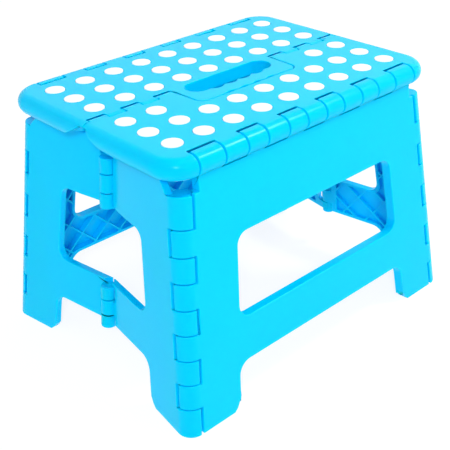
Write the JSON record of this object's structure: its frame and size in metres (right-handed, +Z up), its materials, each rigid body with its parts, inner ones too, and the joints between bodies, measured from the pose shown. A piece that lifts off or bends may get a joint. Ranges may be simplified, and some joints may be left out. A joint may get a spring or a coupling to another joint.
{
  "type": "folding stool",
  "caption": "Low folding stool of moulded plastic: two-part top with grip dots and a hand-hold, hinged leg panels and folding ends.",
  "frame": {"origin": "on the floor under the centre of the open stool", "axes": "+X to the right along the long side, +Y to the back, +Z up"},
  "size_m": [0.3242, 0.2536, 0.2256],
  "materials": {
    "plastic": "satin moulded, cyan blue",
    "dots": "soft matt, white",
    "pins": "smooth, hidden in the knuckles"
  },
  "bodies": {
    "front_leg": {"front_leg_panel": "plastic", "front_edge_pin": "pins", "left_front_corner_pin": "pins", "right_front_corner_pin": "pins"},
    "front_top": {"front_top_panel": "plastic", "front_grip_dots": "dots", "left_top_pin": "pins", "right_top_pin": "pins"},
    "back_top": {"back_top_panel": "plastic", "back_grip_dots": "dots"},
    "back_leg": {"back_leg_panel": "plastic", "back_edge_pin": "pins", "left_back_corner_pin": "pins", "right_back_corner_pin": "pins"},
    "left_front": {"left_front_end": "plastic", "left_upper_end_pin": "pins", "left_lower_end_pin": "pins"},
    "right_front": {"right_front_end": "plastic", "right_upper_end_pin": "pins", "right_lower_end_pin": "pins"},
    "left_back": {"left_back_end": "plastic"},
    "right_back": {"right_back_end": "plastic"}
  },
  "joints": [
    {"name": "front_edge_hinge", "type": "hinge", "parent": "front_leg", "child": "front_top", "pos_m": [0, -0.0985, 0.216], "axis": [1, 0, 0], "range_deg": [0, 70.2]},
    {"name": "top_centre_hinge", "type": "hinge", "parent": "front_top", "child": "back_top", "pos_m": [0, 0, 0.216], "axis": [1, 0, 0], "range_deg": [-150, 0]},
    {"name": "back_edge_hinge", "type": "hinge", "parent": "back_top", "child": "back_leg", "pos_m": [0, 0.0985, 0.216], "axis": [1, 0, 0], "range_deg": [0, 70.2]},
    {"name": "left_front_corner_hinge", "type": "hinge", "parent": "front_leg", "child": "left_front", "pos_m": [-0.13693, -0.10105, 0.11499], "axis": [-0.108, -0.1125, -0.9878], "range_deg": [0, 78.6]},
    {"name": "right_front_corner_hinge", "type": "hinge", "parent": "front_leg", "child": "right_front", "pos_m": [0.13693, -0.10105, 0.11499], "axis": [-0.108, 0.1125, 0.9878], "range_deg": [0, 78.6]},
    {"name": "left_back_corner_hinge", "type": "hinge", "parent": "back_leg", "child": "left_back", "pos_m": [-0.13693, 0.10105, 0.11499], "axis": [0.108, -0.1125, 0.9878], "range_deg": [0, 78.6]},
    {"name": "right_back_corner_hinge", "type": "hinge", "parent": "back_leg", "child": "right_back", "pos_m": [0.13693, 0.10105, 0.11499], "axis": [0.108, 0.1125, -0.9878], "range_deg": [0, 78.6]}
  ],
  "couplings": [
    {"joint": "top_centre_hinge", "follows": "front_edge_hinge", "ratio": -2.1368},
    {"joint": "back_edge_hinge", "follows": "front_edge_hinge", "ratio": 1},
    {"joint": "left_front_corner_hinge", "follows": "front_edge_hinge", "ratio": 1.1197},
    {"joint": "right_front_corner_hinge", "follows": "front_edge_hinge", "ratio": 1.1197},
    {"joint": "left_back_corner_hinge", "follows": "front_edge_hinge", "ratio": 1.1197},
    {"joint": "right_back_corner_hinge", "follows": "front_edge_hinge", "ratio": 1.1197}
  ]
}
